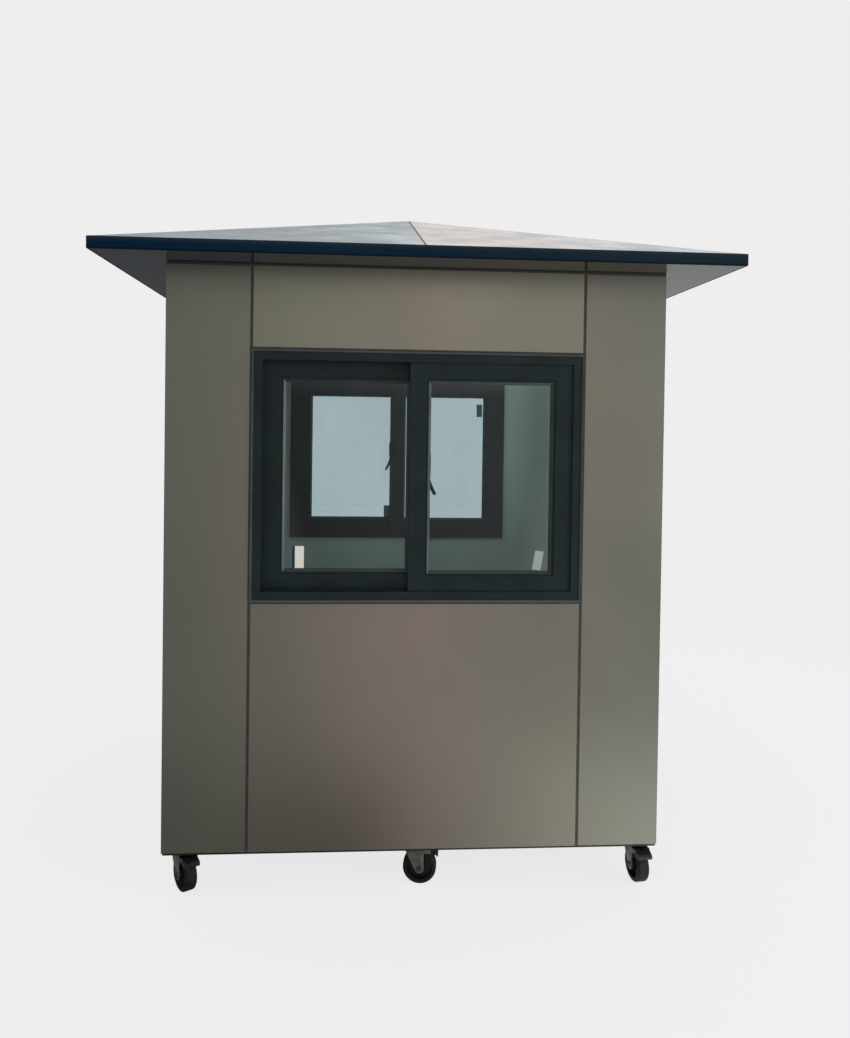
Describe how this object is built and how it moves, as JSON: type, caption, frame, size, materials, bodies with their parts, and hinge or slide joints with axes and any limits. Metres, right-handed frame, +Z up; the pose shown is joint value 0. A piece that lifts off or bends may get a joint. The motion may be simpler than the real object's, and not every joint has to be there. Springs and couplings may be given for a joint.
{
  "type": "wheeled security guard booth",
  "caption": "Square guard booth with metal panel cladding, sliding windows, a glazed door and a hipped roof, on swivel casters with brake pedals.",
  "frame": {"origin": "on the ground under the middle of the booth", "axes": "+Z up, the front with the serving window faces -Y, the door faces +X"},
  "size_m": [2.257, 2.257, 2.676],
  "materials": {
    "cladding": "satin champagne grey composite panel",
    "sealant": "dark joint sealant",
    "window_coating": "satin charcoal powder coat",
    "latch_coating": "black coated latch",
    "window_glass": "clear float glass with a faint green edge",
    "door_coating": "satin champagne grey door skin",
    "door_metal": "brushed steel lever and hinges",
    "soffit_sheet": "silver grey sheet",
    "fascia_coating": "dark navy edge trim",
    "roof_sheet": "silver grey composite panel",
    "wall_lining": "pale grey green lining",
    "floor_board": "dark floor board",
    "chassis_paint": "black painted steel tube",
    "caster_steel": "black coated pressed steel",
    "caster_tyre": "black rubber tyre on a black core"
  },
  "bodies": {
    "cabin": {"chassis": "chassis_paint", "floor_deck": "floor_board", "caster_plates": "caster_steel", "front_wall": "wall_lining", "rear_wall": "wall_lining", "left_wall": "wall_lining", "right_wall": "wall_lining", "corner_panels": "cladding", "upper_panels": "cladding", "lower_panels": "cladding", "door_side_panels": "cladding", "panel_sealant": "sealant", "front_window_frame": "window_coating", "left_window_frame": "window_coating", "rear_window_frame": "window_coating", "front_sashes": "window_coating", "left_sashes": "window_coating", "rear_sashes": "window_coating", "window_panes": "window_glass", "window_latches": "latch_coating", "door_frame": "window_coating", "door_leaf": "door_coating", "door_pane": "window_glass", "door_hardware": "door_metal", "soffit": "soffit_sheet", "ceiling": "wall_lining", "fascia": "fascia_coating", "roof_frame": "chassis_paint", "roof_sheets": "roof_sheet", "roof_seams": "sealant"},
    "front_left_fork": {"front_left_fork": "caster_steel"},
    "front_left_wheel": {"front_left_wheel": "caster_tyre"},
    "front_left_pedal": {"front_left_pedal": "caster_steel"},
    "front_middle_fork": {"front_middle_fork": "caster_steel"},
    "front_middle_wheel": {"front_middle_wheel": "caster_tyre"},
    "front_middle_pedal": {"front_middle_pedal": "caster_steel"},
    "front_right_fork": {"front_right_fork": "caster_steel"},
    "front_right_wheel": {"front_right_wheel": "caster_tyre"},
    "front_right_pedal": {"front_right_pedal": "caster_steel"},
    "rear_left_fork": {"rear_left_fork": "caster_steel"},
    "rear_left_wheel": {"rear_left_wheel": "caster_tyre"},
    "rear_left_pedal": {"rear_left_pedal": "caster_steel"},
    "rear_middle_fork": {"rear_middle_fork": "caster_steel"},
    "rear_middle_wheel": {"rear_middle_wheel": "caster_tyre"},
    "rear_middle_pedal": {"rear_middle_pedal": "caster_steel"},
    "rear_right_fork": {"rear_right_fork": "caster_steel"},
    "rear_right_wheel": {"rear_right_wheel": "caster_tyre"},
    "rear_right_pedal": {"rear_right_pedal": "caster_steel"}
  },
  "joints": [
    {"name": "front_left_swivel", "type": "hinge", "parent": "cabin", "child": "front_left_fork", "pos_m": [-0.8545, -0.8345, 0.13], "axis": [0, 0, 1], "continuous": true},
    {"name": "front_left_roll", "type": "hinge", "parent": "front_left_fork", "child": "front_left_wheel", "pos_m": [-0.83772, -0.85937, 0.0625], "axis": [0.829, 0.5592, 0], "continuous": true},
    {"name": "front_left_brake", "type": "hinge", "parent": "front_left_fork", "child": "front_left_pedal", "pos_m": [-0.8183, -0.88817, 0.12784], "axis": [-0.829, -0.5592, 0], "range_deg": [0, 14]},
    {"name": "front_middle_swivel", "type": "hinge", "parent": "cabin", "child": "front_middle_fork", "pos_m": [0, -0.8345, 0.13], "axis": [0, 0, 1], "continuous": true},
    {"name": "front_middle_roll", "type": "hinge", "parent": "front_middle_fork", "child": "front_middle_wheel", "pos_m": [0.02971, -0.83867, 0.0625], "axis": [0.1392, 0.9903, 0], "continuous": true},
    {"name": "front_middle_brake", "type": "hinge", "parent": "front_middle_fork", "child": "front_middle_pedal", "pos_m": [0.06411, -0.84351, 0.12784], "axis": [-0.1392, -0.9903, 0], "range_deg": [0, 14]},
    {"name": "front_right_swivel", "type": "hinge", "parent": "cabin", "child": "front_right_fork", "pos_m": [0.8545, -0.8345, 0.13], "axis": [0, 0, 1], "continuous": true},
    {"name": "front_right_roll", "type": "hinge", "parent": "front_right_fork", "child": "front_right_wheel", "pos_m": [0.85867, -0.86421, 0.0625], "axis": [0.9903, 0.1392, 0], "continuous": true},
    {"name": "front_right_brake", "type": "hinge", "parent": "front_right_fork", "child": "front_right_pedal", "pos_m": [0.86351, -0.89861, 0.12784], "axis": [-0.9903, -0.1392, 0], "range_deg": [0, 14]},
    {"name": "rear_left_swivel", "type": "hinge", "parent": "cabin", "child": "rear_left_fork", "pos_m": [-0.8545, 0.8345, 0.13], "axis": [0, 0, 1], "continuous": true},
    {"name": "rear_left_roll", "type": "hinge", "parent": "rear_left_fork", "child": "rear_left_wheel", "pos_m": [-0.83152, 0.81522, 0.0625], "axis": [0.6428, 0.766, 0], "continuous": true},
    {"name": "rear_left_brake", "type": "hinge", "parent": "rear_left_fork", "child": "rear_left_pedal", "pos_m": [-0.80491, 0.79288, 0.12784], "axis": [-0.6428, -0.766, 0], "range_deg": [0, 14]},
    {"name": "rear_middle_swivel", "type": "hinge", "parent": "cabin", "child": "rear_middle_fork", "pos_m": [0, 0.8345, 0.13], "axis": [0, 0, 1], "continuous": true},
    {"name": "rear_middle_roll", "type": "hinge", "parent": "rear_middle_fork", "child": "rear_middle_wheel", "pos_m": [0.02741, 0.8223, 0.0625], "axis": [0.4067, 0.9135, 0], "continuous": true},
    {"name": "rear_middle_brake", "type": "hinge", "parent": "rear_middle_fork", "child": "rear_middle_pedal", "pos_m": [0.05914, 0.80817, 0.12784], "axis": [-0.4067, -0.9135, 0], "range_deg": [0, 14]},
    {"name": "rear_right_swivel", "type": "hinge", "parent": "cabin", "child": "rear_right_fork", "pos_m": [0.8545, 0.8345, 0.13], "axis": [0, 0, 1], "continuous": true},
    {"name": "rear_right_roll", "type": "hinge", "parent": "rear_right_fork", "child": "rear_right_wheel", "pos_m": [0.87297, 0.81086, 0.0625], "axis": [0.788, 0.6157, 0], "continuous": true},
    {"name": "rear_right_brake", "type": "hinge", "parent": "rear_right_fork", "child": "rear_right_pedal", "pos_m": [0.89436, 0.78348, 0.12784], "axis": [-0.788, -0.6157, 0], "range_deg": [0, 14]}
  ]
}
